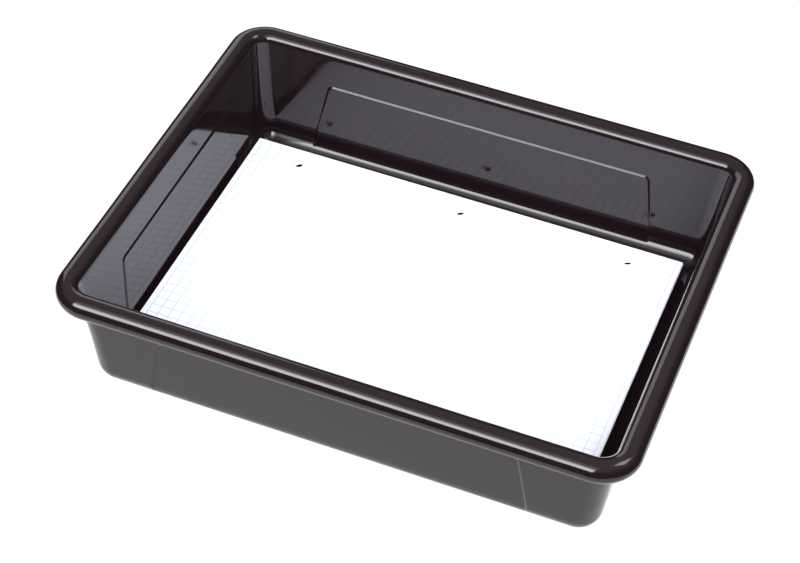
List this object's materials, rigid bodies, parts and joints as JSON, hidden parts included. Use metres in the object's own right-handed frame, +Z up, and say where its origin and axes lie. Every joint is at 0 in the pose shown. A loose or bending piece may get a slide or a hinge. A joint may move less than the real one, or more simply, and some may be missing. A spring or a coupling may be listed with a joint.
{
  "type": "developing tray",
  "caption": "Deep rectangular tray with sloping walls, a round rolled rim and a shallow panel in each wall, holding a thin loose pile of punched squared paper.",
  "frame": {"origin": "centre of the underside of the base, on the surface the tray stands on", "axes": "+X along the long walls, +Y towards the back wall, beside the punched edge of the paper, +Z up"},
  "size_m": [0.3348, 0.2734, 0.0775],
  "materials": {
    "tray_plastic": "high gloss moulded black",
    "paper": "uncoated white with pale blue squares"
  },
  "bodies": {
    "tray": {"tray": "tray_plastic"},
    "lower_sheets": {"lower_sheets": "paper"},
    "middle_sheets": {"middle_sheets": "paper"},
    "top_sheets": {"top_sheets": "paper"}
  },
  "joints": [
    {"name": "lower_lift", "type": "slide", "parent": "tray", "child": "lower_sheets", "axis": [0, 0, 1], "range_m": [0, 0.09]},
    {"name": "middle_lift", "type": "slide", "parent": "lower_sheets", "child": "middle_sheets", "axis": [0, 0, 1], "range_m": [0, 0.09]},
    {"name": "top_lift", "type": "slide", "parent": "middle_sheets", "child": "top_sheets", "axis": [0, 0, 1], "range_m": [0, 0.09]}
  ]
}
